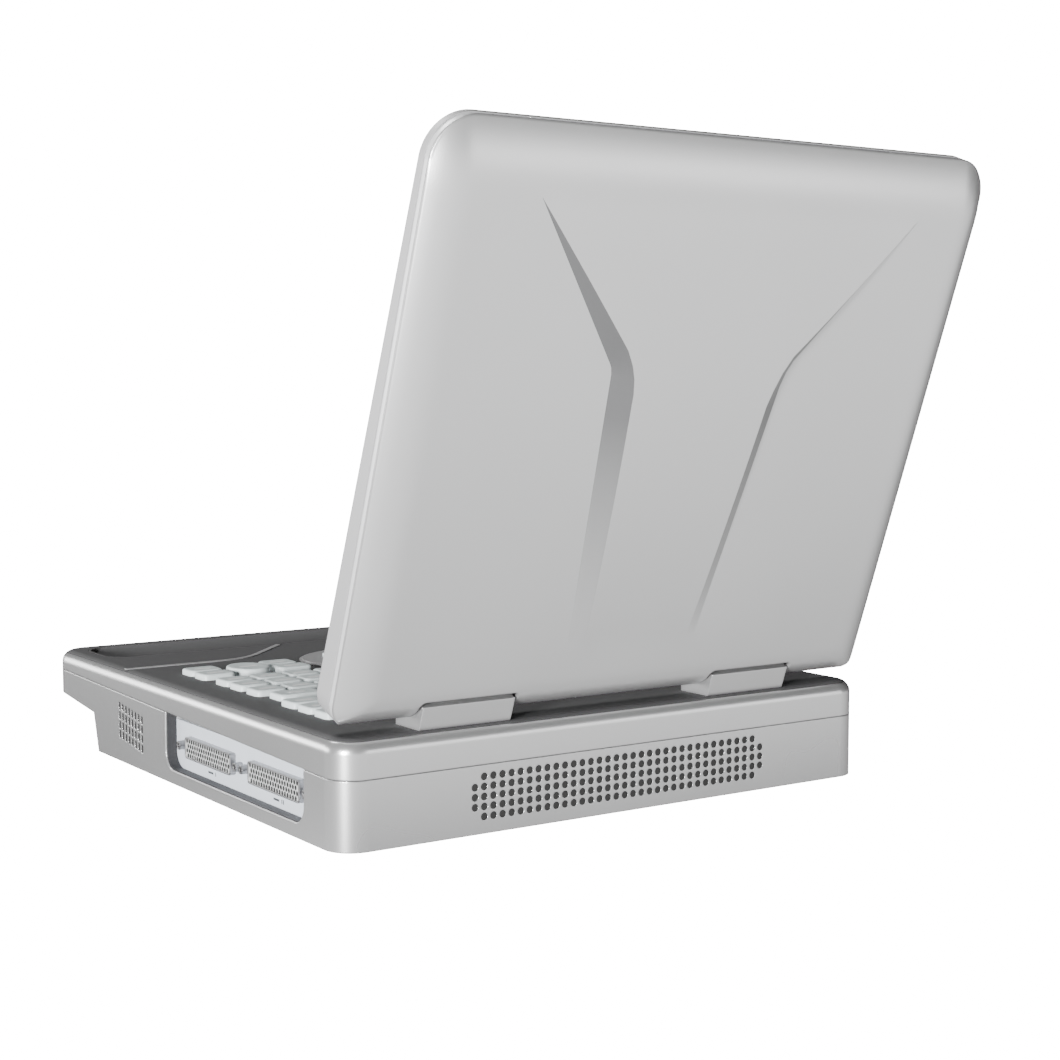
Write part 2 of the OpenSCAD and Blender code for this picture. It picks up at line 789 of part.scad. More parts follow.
module hinge_block(i) {
  color(silver) translate([block_x[i] - block_w / 2, hinge_y, hinge_z]) rotate([90, 0, 90]) difference() {
    linear_extrude(block_w) block_profile();
    translate([0, 0, -1]) cylinder(r = pin_r + 0.05, h = block_w + 2);
  }
}

// Friction shaft with the two arms that carry the display.
module hinge_arm(i) {
  color(steel) lid_place() translate([block_x[i], 0, 0]) {
    translate([-38, 0, 0]) rotate([0, 90, 0]) cylinder(r = pin_r, h = 76);
    for (s = [-1, 1]) translate([s * 33.4, 0, 0]) {
      translate([-5, -4, -4]) cube([10, 8, 8]);
      translate([-5, 1.5, 2]) cube([10, 2.5, 40]);
    }
  }
}

bottom_case();
top_case();
deck_plate();
grip_trough();
deck_inlay();
port_panel();
probe_socket(0);  // probe_socket_1
probe_socket(1);  // probe_socket_2
probe_insert(0);  // probe_insert_1
probe_insert(1);  // probe_insert_2
jack_posts();
rubber_feet();
case_screws();
hinge_block(0);  // hinge_block_right
hinge_block(1);  // hinge_block_left
hinge_arm(0);  // hinge_arm_right
hinge_arm(1);  // hinge_arm_left
lid_back();
lid_rim();
lid_bezel();
lcd_panel();
screen_glass();
lid_bumpers();
lid_screws();
ball_surround();
trackball();
gain_knob();
select_key(k_sl);  // select_left
select_key(k_sr);  // select_right
key_board();
letter_keypad();
main_board();
front_end_box();
battery_pack();
fan_housing();
fan_rotor();
dust_filter();
power_inlet();
power_button();
key_freeze();
key_cap(k_a1);  // key_a1
key_cap(k_a3);  // key_a3
key_cap(k_b1);  // key_b1
key_cap(k_b3);  // key_b3
key_cap(letter(0, 0));  // key_c1
key_cap(letter(1, 0));  // key_c2
key_cap(letter(2, 0));  // key_c3
key_cap(letter(0, 1));  // key_d1
key_cap(letter(1, 1));  // key_d2
key_cap(letter(2, 1));  // key_d3
key_cap(letter(0, 2));  // key_e1
key_cap(letter(1, 2));  // key_e2
key_cap(letter(2, 2));  // key_e3
key_cap(k_f1);  // key_f1
key_cap(edge_key(4));  // key_g1
key_cap(edge_key(5));  // key_h1
key_cap(edge_key(6));  // key_i1
key_cap(k_l1);  // key_left_1
key_cap(k_l2);  // key_left_2
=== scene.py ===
import json
import math

import bmesh
import bpy
from mathutils import Matrix, Vector
from mathutils.geometry import delaunay_2d_cdt


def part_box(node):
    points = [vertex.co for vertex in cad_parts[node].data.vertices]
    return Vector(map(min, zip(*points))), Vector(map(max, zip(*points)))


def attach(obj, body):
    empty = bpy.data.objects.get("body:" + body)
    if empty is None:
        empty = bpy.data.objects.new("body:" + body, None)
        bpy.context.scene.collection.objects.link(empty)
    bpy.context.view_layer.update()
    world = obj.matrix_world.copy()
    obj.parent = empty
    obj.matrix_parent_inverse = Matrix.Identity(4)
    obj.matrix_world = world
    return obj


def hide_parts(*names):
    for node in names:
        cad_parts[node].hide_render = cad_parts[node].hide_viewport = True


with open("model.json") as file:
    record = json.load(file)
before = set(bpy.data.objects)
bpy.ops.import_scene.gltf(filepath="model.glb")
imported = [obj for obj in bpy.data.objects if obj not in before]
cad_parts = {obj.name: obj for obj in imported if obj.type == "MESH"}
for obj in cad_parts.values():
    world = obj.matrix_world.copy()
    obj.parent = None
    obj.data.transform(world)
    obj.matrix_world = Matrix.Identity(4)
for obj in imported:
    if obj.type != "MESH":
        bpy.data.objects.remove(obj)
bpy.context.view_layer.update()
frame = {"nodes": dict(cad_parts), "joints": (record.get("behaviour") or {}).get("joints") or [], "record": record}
nodes = frame["nodes"]
joints = {joint["name"]: joint for joint in frame["joints"]}
print("frame loaded:", len(nodes), "nodes")


def mm(*values):
    return tuple(value / 1000 for value in values)


# camera: the view of the back right corner
view = {"turn": 145.87, "lift": 4.55, "reach": 0.956, "aim": (0.0, 0.089, 0.132), "lens": 63.7}
turn, lift = math.radians(view["turn"]), math.radians(view["lift"])
backward = Vector((math.sin(turn) * math.cos(lift), -math.cos(turn) * math.cos(lift), math.sin(lift)))
cameraData = bpy.data.cameras.new("camera")
cameraData.lens = view["lens"]
cameraData.sensor_width = 36
cameraData.clip_start = 0.01
camera = bpy.data.objects.new("camera", cameraData)
station = Matrix.Translation(Vector(view["aim"]) + backward * view["reach"])
camera.matrix_world = station @ backward.to_track_quat("Z", "Y").to_matrix().to_4x4()
bpy.context.scene.collection.objects.link(camera)
bpy.context.scene.camera = camera
print("camera placed")


def newGroup(name, sockets):
    group = bpy.data.node_groups.new(name, "ShaderNodeTree")
    for label, direction, kind, default in sockets:
        socket = group.interface.new_socket(name=label, in_out=direction, socket_type=kind)
        if default is not None:
            socket.default_value = default
    return group, group.nodes, group.links


def addNodes(nodes, *kinds):
    return [nodes.new(kind) for kind in kinds]


# worn and softened edges: 0 on flat faces, 1 along an edge
edgeGroup, gn, gl = newGroup("edgeMask", [
    ("Radius", "INPUT", "NodeSocketFloat", 0.0008),
    ("Mask", "OUTPUT", "NodeSocketFloat", None),
    ("Normal", "OUTPUT", "NodeSocketVector", None),
])
gi, go = gn.new("NodeGroupInput"), gn.new("NodeGroupOutput")
bevel, geo, dot, ramp = addNodes(
    gn, "ShaderNodeBevel", "ShaderNodeNewGeometry", "ShaderNodeVectorMath", "ShaderNodeMapRange")
bevel.samples = 6
dot.operation = "DOT_PRODUCT"
ramp.inputs["From Min"].default_value = 0.995
ramp.inputs["From Max"].default_value = 0.85
gl.new(gi.outputs["Radius"], bevel.inputs["Radius"])
gl.new(bevel.outputs["Normal"], dot.inputs[0])
gl.new(geo.outputs["Normal"], dot.inputs[1])
gl.new(dot.outputs["Value"], ramp.inputs["Value"])
gl.new(ramp.outputs["Result"], go.inputs["Mask"])
gl.new(bevel.outputs["Normal"], go.inputs["Normal"])

# fine moulded grain with a slow variation over it
grainGroup, gn, gl = newGroup("grain", [
    ("Fine", "INPUT", "NodeSocketFloat", 900.0),
    ("Broad", "INPUT", "NodeSocketFloat", 9.0),
    ("Height", "OUTPUT", "NodeSocketFloat", None),
    ("Drift", "OUTPUT", "NodeSocketFloat", None),
])
gi, go = gn.new("NodeGroupInput"), gn.new("NodeGroupOutput")
coord, fine, broad, cell, mixUp = addNodes(
    gn, "ShaderNodeTexCoord", "ShaderNodeTexNoise", "ShaderNodeTexNoise", "ShaderNodeTexVoronoi",
    "ShaderNodeMath")
fine.inputs["Detail"].default_value = 3
broad.inputs["Detail"].default_value = 2
mixUp.operation = "MULTIPLY_ADD"
mixUp.inputs[1].default_value = 0.4
for texture in (fine, broad, cell):
    gl.new(coord.outputs["Object"], texture.inputs["Vector"])
gl.new(gi.outputs["Fine"], fine.inputs["Scale"])
gl.new(gi.outputs["Fine"], cell.inputs["Scale"])
gl.new(gi.outputs["Broad"], broad.inputs["Scale"])
gl.new(cell.outputs["Distance"], mixUp.inputs[0])
gl.new(fine.outputs["Fac"], mixUp.inputs[2])
gl.new(mixUp.outputs["Value"], go.inputs["Height"])
gl.new(broad.outputs["Fac"], go.inputs["Drift"])


def finishOf(name, colour, rough=0.45, metal=0.0, fineScale=900.0, bump=0.05, wear=0.15,
             drift=0.05, edge=0.0008, coat=0.0, spread=0.08, facet=None):
    material = bpy.data.materials.new(name)
    material.use_nodes = True
    tree = material.node_tree
    shader = tree.nodes["Principled BSDF"]
    shader.inputs["Metallic"].default_value = metal
    shader.inputs["Coat Weight"].default_value = coat
    shader.inputs["Coat Roughness"].default_value = 0.25
    edges, grains = tree.nodes.new("ShaderNodeGroup"), tree.nodes.new("ShaderNodeGroup")
    edges.node_tree, grains.node_tree = edgeGroup, grainGroup
    edges.inputs["Radius"].default_value = edge
    grains.inputs["Fine"].default_value = fineScale
    wearMix, driftMix = tree.nodes.new("ShaderNodeMix"), tree.nodes.new("ShaderNodeMix")
    for mix in (wearMix, driftMix):
        mix.data_type = "RGBA"
    paler = [min(1, c * 1.25 + 0.03) for c in colour]
    driftMix.inputs["A"].default_value = [c * (1 - drift) for c in colour] + [1]
    driftMix.inputs["B"].default_value = [min(1, c * (1 + drift)) for c in colour] + [1]
    wearMix.inputs["B"].default_value = paler + [1]
    amount = tree.nodes.new("ShaderNodeMath")
    amount.operation = "MULTIPLY"
    amount.inputs[1].default_value = wear
    roughRange = tree.nodes.new("ShaderNodeMapRange")
    roughRange.inputs["To Min"].default_value = rough * (1 - spread)
    roughRange.inputs["To Max"].default_value = rough * (1 + spread)
    bumpNode = tree.nodes.new("ShaderNodeBump")
    bumpNode.inputs["Strength"].default_value = bump
    bumpNode.inputs["Distance"].default_value = 0.0002
    links = tree.links
    links.new(grains.outputs["Drift"], driftMix.inputs["Factor"])
    links.new(driftMix.outputs["Result"], wearMix.inputs["A"])
    links.new(edges.outputs["Mask"], amount.inputs[0])
    links.new(amount.outputs["Value"], wearMix.inputs["Factor"])
    colourOut = wearMix.outputs["Result"]
    # painted shade: the crease facets are mixed towards a darker colour by their per-corner attribute
    if facet:
        mask, facetMix, facetAmount = addNodes(
            tree.nodes, "ShaderNodeAttribute", "ShaderNodeMix", "ShaderNodeMath")
        mask.attribute_name = "facet"
        facetMix.data_type = "RGBA"
        facetMix.inputs["B"].default_value = list(facet) + [1]
        facetAmount.operation = "MULTIPLY"
        facetAmount.inputs[1].default_value = 0.85
        links.new(mask.outputs["Fac"], facetAmount.inputs[0])
        links.new(facetAmount.outputs["Value"], facetMix.inputs["Factor"])
        links.new(colourOut, facetMix.inputs["A"])
        colourOut = facetMix.outputs["Result"]
    links.new(colourOut, shader.inputs["Base Color"])
    links.new(grains.outputs["Drift"], roughRange.inputs["Value"])
    links.new(roughRange.outputs["Result"], shader.inputs["Roughness"])
    links.new(grains.outputs["Height"], bumpNode.inputs["Height"])
    links.new(edges.outputs["Normal"], bumpNode.inputs["Normal"])
    links.new(bumpNode.outputs["Normal"], shader.inputs["Normal"])
    return material


silver = finishOf("silver", (0.62, 0.622, 0.625), rough=0.28, metal=0.78, fineScale=1400, bump=0.1)
# silver for the display back, with painted shade on its crease facets
silverLid = finishOf(
    "silverLid", (0.62, 0.622, 0.625), rough=0.34, metal=0.7, fineScale=1400, bump=0.1,
    facet=(0.12, 0.12, 0.124))
deckDark = finishOf("deckDark", (0.06, 0.06, 0.062), rough=0.85, fineScale=1200, bump=0.2, spread=0.1)
gripDark = finishOf("gripDark", (0.1, 0.1, 0.102), rough=0.42, fineScale=1500, bump=0.1)
inlay = finishOf("inlay", (0.4, 0.4, 0.405), rough=0.4, metal=0.2)
panelPale = finishOf("panelPale", (0.62, 0.66, 0.72), rough=0.45)
steel = finishOf("steel", (0.34, 0.34, 0.35), rough=0.32, metal=0.9, fineScale=600, bump=0.03)
insertPale = finishOf("insertPale", (0.5, 0.505, 0.505), rough=0.55)
rubber = finishOf("rubber", (0.02, 0.02, 0.02), rough=0.7, bump=0.3)
rimBright = finishOf("rimBright", (0.66, 0.665, 0.67), rough=0.35, metal=0.2)
bezelGrey = finishOf("bezelGrey", (0.36, 0.36, 0.365), rough=0.45, fineScale=1300, bump=0.12)
glassDark = finishOf("glassDark", (0.008, 0.01, 0.014), rough=0.12, bump=0.0, wear=0.0, coat=0.6)
keyPale = finishOf("keyPale", (0.68, 0.74, 0.74), rough=0.4, fineScale=1600, bump=0.06)
padGrey = finishOf("padGrey", (0.33, 0.33, 0.335), rough=0.42)
ballDark = finishOf("ballDark", (0.03, 0.035, 0.05), rough=0.12, bump=0.0, coat=0.5)
knobDark = finishOf("knobDark", (0.05, 0.05, 0.052), rough=0.45)
boardGreen = finishOf("boardGreen", (0.02, 0.1, 0.04), rough=0.4)
batteryBlack = finishOf("batteryBlack", (0.03, 0.03, 0.033), rough=0.5)
holeDark = finishOf("holeDark", (0.02, 0.02, 0.02), rough=0.8, wear=0.0)
markWhite = finishOf("markWhite", (0.92, 0.93, 0.93), rough=0.5, wear=0.0)
tallyDark = finishOf("tallyDark", (0.06, 0.065, 0.075), rough=0.6, wear=0.0)
# painted shade: dark colour for the sheet over the port recess's silver end and floor
recessShadeDark = finishOf("recessShadeDark", (0.03, 0.03, 0.032), rough=0.55, fineScale=1500, bump=0.15, wear=0.05)
print("materials made")

finishes = {
    "case_silver": silver, "rim_silver": rimBright, "inlay_silver": inlay,
    "deck_dark": deckDark, "grip_dark": gripDark, "bezel_grey": bezelGrey, "pad_grey": padGrey,
    "key_pale": keyPale, "panel_pale": panelPale, "insert_pale": insertPale,
    "socket_steel": steel, "screw_steel": steel, "shield_steel": steel,
    "screen_glass": glassDark, "ball_dark": ballDark, "knob_dark": knobDark, "foot_rubber": rubber,
    "board_green": boardGreen, "battery_black": batteryBlack, "fan_black": batteryBlack,
    "lcd_grey": batteryBlack, "filter_black": holeDark,
}
slots = {entry["node"]: entry["material_slot"] for entry in frame["record"]["subparts"]}
for name, obj in nodes.items():
    obj.data.materials.clear()
    obj.data.materials.append(finishes[slots[name]])
    for polygon in obj.data.polygons:
        polygon.use_smooth = True
    obj.data.set_sharp_from_angle(angle=math.radians(32))
print("CAD nodes finished")

# display back: soft edges, curled foot and the two sharp creases, with painted shade on the crease facets
lean = Matrix.Translation((0, 0.1525, 0.0626)) @ Matrix.Rotation(math.radians(-20), 4, "X")
lid = {
    "halfWide": 154.0, "top": 268.4, "low": -1.8, "foot": -5.5, "back": 17.0, "seat": 8.6,
    "topRadius": 20.0, "lowRadius": 14.0,
    "sideSoft": 18.0, "topSoft": 30.0, "drop": 7.4, "footSoft": 20.0, "wall": 2.4,
    "notchAt": (87.0, -79.0), "notchHalf": 26.25, "notchTop": 8.8, "notchRadius": 3.0,
    "rise": 4.6, "tip": 239.3, "bend": 162.0, "fade": 30.0,
}
creases = {
    "rightLow": [(103.4, 239.2), (51.3, 168.5), (50.2, 166.6), (49.4, 163.5), (45.5, 106.0), (40.6, 32.0)],
    "rightHigh": [
        (103.4, 239.2), (46.5, 176.0), (42.4, 169.2), (39.9, 163.0), (38.5, 156.0), (35.2, 105.0),
        (30.8, 32.0)],
    "leftLow": [
        (-109.0, 239.5), (-53.6, 170.5), (-50.9, 165.0), (-49.0, 158.0), (-42.8, 105.0), (-34.2, 32.0)],
    "leftHigh": [
        (-109.0, 239.5), (-48.9, 174.0), (-44.6, 166.0), (-41.6, 157.0), (-39.8, 149.5), (-35.3, 100.0),
        (-29.4, 32.0)],
}
acrossCreases = ("leftLow", "leftHigh", "rightHigh", "rightLow")
ringSteps = (0.7, 1.5, 2.5, 3.8, 5.4)
ringGap = 6.8
sideSteps = (0.8, 1.7, 2.7, 3.8, 5, 6.3, 7.7, 9.2, 10.8, 12.4, 14, 16, 18, 20.5, 24)
topSteps = (0.8, 1.7, 2.8, 4.2, 6, 8, 10.5, 13, 16, 19, 22, 25, 28, 31, 35)
lowSteps = (0.6, 1.4, 2.4, 3.6, 4.9, 6.3, 7.8, 9.4, 11, 13, 15, 17, 20)


def along(line, z):
    for (xa, za), (xb, zb) in zip(line, line[1:]):
        if za >= z >= zb:
            return xa + (xb - xa) * (za - z) / (za - zb)
    return None


def arcPoints(cx, cz, radius, start, end, count):
    steps = [math.radians(start + (end - start) * i / count) for i in range(count + 1)]
    return [(cx + radius * math.cos(a), cz + radius * math.sin(a)) for a in steps]


def lidHeight(x, z):
    u = max(0.0, 1 - (lid["halfWide"] - abs(x)) / lid["sideSoft"])
    v = max(0.0, 1 - (lid["top"] - z) / lid["topSoft"])
    drop = lid["drop"] * (u * u + v * v)
    reach = z - lid["foot"]
    if reach < lid["footSoft"]:
        curl = lid["footSoft"] - math.sqrt(max(0.0, lid["footSoft"] ** 2 - (lid["footSoft"] - reach) ** 2))
        drop = (drop ** 4 + curl ** 4) ** 0.25
    height = lid["back"] - min(drop, lid["back"] - lid["seat"] - 0.15)
    if lid["fade"] < z < lid["tip"]:
        end = lid["tip"] if z > lid["bend"] else lid["fade"]
        span = (end - z) / (end - lid["bend"])
        rise = lid["rise"] * (1 - (1 - span) ** 2)
        places = [along(creases[key], min(z, 239.15)) for key in acrossCreases]
        if None not in places:
            lowA, highA, highB, lowB = places
            if highA <= x <= highB:
                height += rise
            elif lowA < x < highA:
                height += rise * (x - lowA) / (highA - lowA)
            elif highB < x < lowB:
                height += rise * (lowB - x) / (lowB - highB)
    return height


def nearLine(x, z, line, gap):
    for (xa, za), (xb, zb) in zip(line, line[1:]):
        dx, dz = xb - xa, zb - za
        t = max(0, min(1, ((x - xa) * dx + (z - za) * dz) / (dx * dx + dz * dz)))
        if math.hypot(x - xa - t * dx, z - za - t * dz) < gap:
            return True
    return False


def spread(points, gap):
    out = []
    for (xa, za), (xb, zb) in zip(points, points[1:]):
        count = max(1, round(math.hypot(xb - xa, zb - za) / gap))
        out += [(xa + (xb - xa) * i / count, za + (zb - za) * i / count) for i in range(count)]
    return out + [points[-1]]


def makeLidBack():
    w, rt, rb = lid["halfWide"], lid["topRadius"], lid["lowRadius"]
    lowEdge = w - rb + math.sqrt(rb ** 2 - (lid["foot"] + rb - lid["low"]) ** 2)
    outline = [(-lowEdge, lid["low"])]
    for centre in sorted(lid["notchAt"]):
        half, top, r = lid["notchHalf"], lid["notchTop"], lid["notchRadius"]
        outline.append((centre - half, lid["low"]))
        outline += arcPoints(centre - half + r, top - r, r, 180, 90, 5)
        outline += arcPoints(centre + half - r, top - r, r, 90, 0, 5)
        outline.append((centre + half, lid["low"]))
    startAngle = -math.degrees(math.acos((lowEdge - w + rb) / rb))
    outline += arcPoints(w - rb, lid["foot"] + rb, rb, startAngle, 0, 8)
    outline += arcPoints(w - rt, lid["top"] - rt, rt, 0, 90, 14)
    outline += arcPoints(-w + rt, lid["top"] - rt, rt, 90, 180, 14)
    outline += arcPoints(-w + rb, lid["foot"] + rb, rb, 180, 180 - startAngle, 8)
    outline = spread(outline, 3.0)[:-1]
    loop = outline + [outline[0]]
    points = [Vector(p) for p in outline]
    edges = []
    for line in creases.values():
        dense = spread(line, 4.0)
        first = len(points)
        points += [Vector(p) for p in dense]
        edges += [(first + i, first + i + 1) for i in range(len(dense) - 1)]
    for (xa, za), (x, z), (xb, zb) in zip(outline[-1:] + outline[:-1], outline, outline[1:] + outline[:1]):
        length = math.hypot(xb - xa, zb - za)
        dx, dz = xb - xa, zb - za
        points += [Vector((x - d * dz / length, z + d * dx / length)) for d in ringSteps]
    xs = [s * (w - d) for s in (-1, 1) for d in sideSteps] + [i * 7.2 for i in range(-17, 18)]
    zs = [lid["low"] + d for d in lowSteps] + [lid["top"] - d for d in topSteps]
    zs += [24 + i * 7.0 for i in range(30)]
    for x in xs:
        for z in zs:
            corner = 0
            if z > lid["top"] - rt and abs(x) > w - rt:
                corner = math.hypot(abs(x) - w + rt, z - lid["top"] + rt) - rt
            elif z < lid["foot"] + rb and abs(x) > w - rb:
                corner = math.hypot(abs(x) - w + rb, z - lid["foot"] - rb) - rb
            onCrease = any(nearLine(x, z, line, 1.4) for line in creases.values())
            if corner > -0.8 and corner != 0 or nearLine(x, z, loop, ringGap) or onCrease:
                continue
            if any(abs(x - centre) < lid["notchHalf"] and z < lid["notchTop"] for centre in lid["notchAt"]):
                continue
            points.append(Vector((x, z)))
    border = [list(range(len(outline)))]
    verts, cdtEdges, faces, _, cdtOrigin, _ = delaunay_2d_cdt(points, edges, border, 1, 1e-4)
    marked = {
        tuple(sorted(edge)) for edge, origin in zip(cdtEdges, cdtOrigin) if any(o < len(edges) for o in origin)}
    mesh = bmesh.new()
    outer = [mesh.verts.new(mm(p[0], lidHeight(*p), p[1])) for p in verts]
    inner = [mesh.verts.new(mm(p[0], max(lid["seat"], lidHeight(*p) - lid["wall"]), p[1])) for p in verts]
    # painted shade on the crease facets: full high up, fading to none towards the bottom
    paintedShadeLayer = mesh.loops.layers.float.new("facet")
    counts = {}
    for face in faces:
        a, b, c = (verts[i] for i in face[:3])
        turned = (b - a).cross(c - a) > 0
        ring = list(face) if not turned else list(face)[::-1]
        top = mesh.faces.new([outer[i] for i in ring])
        mesh.faces.new([inner[i] for i in reversed(ring)])
        middle = sum((verts[i] for i in face), Vector((0, 0))) / len(face)
        places = [along(creases[key], middle.y) for key in acrossCreases]
        onFacet = None not in places and (
            places[0] < middle.x < places[1] or places[2] < middle.x < places[3])
        for corner in top.loops:
            z = corner.vert.co.z * 1000
            corner[paintedShadeLayer] = min(1.0, max(0.0, (z - lid["fade"]) / 115.0)) if onFacet else 0.0
        for i, j in zip(ring, ring[1:] + ring[:1]):
            counts[(i, j)] = True
    for i, j in list(counts):
        if (j, i) not in counts:
            mesh.faces.new([outer[j], outer[i], inner[i], inner[j]])
    mesh.verts.index_update()
    for edge in mesh.edges:
        pair = tuple(sorted(v.index for v in edge.verts))
        edge.smooth = not (pair in marked or edge.is_manifold and edge.calc_face_angle(0) > math.radians(40))
    for face in mesh.faces:
        face.smooth = True
    mesh.transform(lean)
    data = bpy.data.meshes.new("lidBackShell")
    bmesh.ops.recalc_face_normals(mesh, faces=mesh.faces)
    mesh.to_mesh(data)
    mesh.free()
    obj = bpy.data.objects.new("lidBackShell", data)
    bpy.context.scene.collection.objects.link(obj)
    return obj


lidShell = makeLidBack()
lidShell.data.materials.append(silverLid)
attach(lidShell, "display")
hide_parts("lid_back")
print("display back made:", len(lidShell.data.polygons), "faces")

# one small shape repeated on points, used for holes and slots
dots = bpy.data.node_groups.new("shapeOnPoints", "GeometryNodeTree")
face = dots.interface
face.new_socket(name="Geometry", in_out="INPUT", socket_type="NodeSocketGeometry")
dotInputs = {
    "Radius": "NodeSocketFloat", "Depth": "NodeSocketFloat", "Turn": "NodeSocketVector",
    "Stretch": "NodeSocketVector", "Finish": "NodeSocketMaterial",
}
for label, kind in dotInputs.items():
    face.new_socket(name=label, in_out="INPUT", socket_type=kind)
face.new_socket(name="Geometry", in_out="OUTPUT", socket_type="NodeSocketGeometry")
dn, dl = dots.nodes, dots.links
dotsIn, dotsOut = dn.new("NodeGroupInput"), dn.new("NodeGroupOutput")
tube, place, real, paint = addNodes(
    dn, "GeometryNodeMeshCylinder", "GeometryNodeInstanceOnPoints", "GeometryNodeRealizeInstances",
    "GeometryNodeSetMaterial")
tube.inputs["Vertices"].default_value = 14
dl.new(dotsIn.outputs["Radius"], tube.inputs["Radius"])
dl.new(dotsIn.outputs["Depth"], tube.inputs["Depth"])
dl.new(dotsIn.outputs["Geometry"], place.inputs["Points"])
dl.new(tube.outputs["Mesh"], place.inputs["Instance"])
dl.new(dotsIn.outputs["Turn"], place.inputs["Rotation"])
dl.new(dotsIn.outputs["Stretch"], place.inputs["Scale"])
dl.new(place.outputs["Instances"], real.inputs["Geometry"])
dl.new(real.outputs["Geometry"], paint.inputs["Geometry"])
dl.new(dotsIn.outputs["Finish"], paint.inputs["Material"])
dl.new(paint.outputs["Geometry"], dotsOut.inputs["Geometry"])


def onPoints(name, points, radius, depth, turn, stretch, finish):
    source = bpy.data.meshes.new(name + "Points")
    source.from_pydata([mm(*p) for p in points], [], [])
    holder = bpy.data.objects.new(name + "Points", source)
    bpy.context.scene.collection.objects.link(holder)
    modifier = holder.modifiers.new("shapes", "NODES")
    modifier.node_group = dots
    values = {
        "Radius": radius / 1000, "Depth": depth / 1000, "Turn": turn, "Stretch": stretch, "Finish": finish}
    for item in dots.interface.items_tree:
        if item.in_out == "INPUT" and item.name in values:
            modifier[item.identifier] = values[item.name]
    bpy.context.view_layer.update()
    graph = bpy.context.evaluated_depsgraph_get()
    made = bpy.data.meshes.new_from_object(
        holder.evaluated_get(graph), preserve_all_data_layers=True, depsgraph=graph)
    made.name = name
    holder.modifiers.clear()
    bpy.data.objects.remove(holder)
    obj = bpy.data.objects.new(name, made)
    bpy.context.scene.collection.objects.link(obj)
    if not made.materials:
        made.materials.append(finish)
    made.set_sharp_from_angle(angle=math.radians(40))
    return obj


sideX, rearY, faceX, panelX = 154.5, 170.0, 151.4, 148.5
portY, portZ = (26.8, 99.6), 22.2
towardsSide, towardsRear = (0, math.radians(90), 0), (math.radians(90), 0, 0)

# painted shade: dark discs set into the insert faces stand for the shade inside the contact holes
contacts = {"pitch": 2.7, "rowPitch": 2.45, "longRow": 19, "radius": 1.04, "deep": 0.17, "thick": 0.4}
for number, centre in enumerate(portY, 1):
    spots = []
    for row in range(4):
        count = contacts["longRow"] - row % 2
        z = portZ + (1.5 - row) * contacts["rowPitch"]
        for column in range(count):
            y = centre + (column - (count - 1) / 2) * contacts["pitch"]
            spots.append((faceX - contacts["deep"], y, z))
    holes = onPoints(
        "contactHoles%d" % number, spots, contacts["radius"], contacts["thick"], towardsSide,
        (1.15, 1, 1), holeDark)
    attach(holes, "base")

# dark discs just inside the rear vents: the dark filter behind them brought up flush, which also paints shade over
# the lit walls of the holes
vents = {"pitch": 5.0, "rowPitch": 4.62, "top": 28.55, "deep": 0.25, "radius": 1.75, "thick": 0.3}
spots = [
    (c * vents["pitch"], rearY - vents["deep"], vents["top"] - r * vents["rowPitch"])
    for c in range(-17, 18) for r in range(5) if abs(c) < 17 or 0 < r < 4]
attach(onPoints(
    "rearFilterAndShade", spots, vents["radius"], vents["thick"], towardsRear, (1, 1, 1), holeDark), "base")

# the slots' columns step down and their rows step back a little
slits = {
    "first": (-79.5, 32.25), "pitch": 4.37, "fall": 0.475, "rowPitch": 5.1, "rowShift": 0.06,
    "deep": 0.19, "radius": 1.25, "thick": 0.3,
}
for number, side in enumerate((1, -1), 1):
    spots = []
    for c in range(8):
        for r in range(4):
            y = slits["first"][0] + c * slits["pitch"] + r * slits["rowShift"]
            z = slits["first"][1] - r * slits["rowPitch"] - c * slits["fall"]
            spots.append((side * (sideX - slits["deep"]), y, z))
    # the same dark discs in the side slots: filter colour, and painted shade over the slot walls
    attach(onPoints(
        "sideFilterAndShade%d" % number, spots, slits["radius"], slits["thick"], towardsSide, (1.66, 1, 1),
        holeDark), "base")
print("holes and slots made")


# flat shapes, rings and lofts
def ringOf(cx, cy, wide, deep, radius, z, arc=5):
    radius = max(0.05, min(radius, wide / 2 - 0.01, deep / 2 - 0.01))
    ring = []
    for sx, sy, start in ((1, 1, 0), (-1, 1, 90), (-1, -1, 180), (1, -1, 270)):
        turnX, turnY = cx + sx * (wide / 2 - radius), cy + sy * (deep / 2 - radius)
        ring += [(px, py, z) for px, py in arcPoints(turnX, turnY, radius, start, start + 90, arc)]
    return ring


def ovalRing(cx, cy, a, b, z, count=40):
    turns = [2 * math.pi * i / count for i in range(count)]
    return [(cx + a * math.cos(turn), cy + b * math.sin(turn), z) for turn in turns]


def loftInto(mesh, rings):
    layers = [[mesh.verts.new(mm(*p)) for p in ring] for ring in rings]
    for low, high in zip(layers, layers[1:]):
        for i in range(len(low)):
            j = (i + 1) % len(low)
            mesh.faces.new([low[i], low[j], high[j], high[i]])
    mesh.faces.new(layers[-1])
    mesh.faces.new(list(reversed(layers[0])))


def meshObject(name, mesh, finish):
    for piece in mesh.faces:
        piece.smooth = True
    data = bpy.data.meshes.new(name)
    mesh.to_mesh(data)
    mesh.free()
    data.set_sharp_from_angle(angle=math.radians(38))
    obj = bpy.data.objects.new(name, data)
    bpy.context.scene.collection.objects.link(obj)
    data.materials.append(finish)
    return obj


# how far in and how far down a key's top edge runs, then the dip of its top
keyEdge = [(0, 1.05), (0.1, 0.66), (0.34, 0.32), (0.75, 0.08), (1.4, 0), (3.4, 0.1), (5.4, 0.16)]
ovalEdge = [(0, 1.0), (0.12, 0.6), (0.4, 0.28), (0.9, 0.06), (1.7, 0), (5, 0.2), (8, 0.3)]


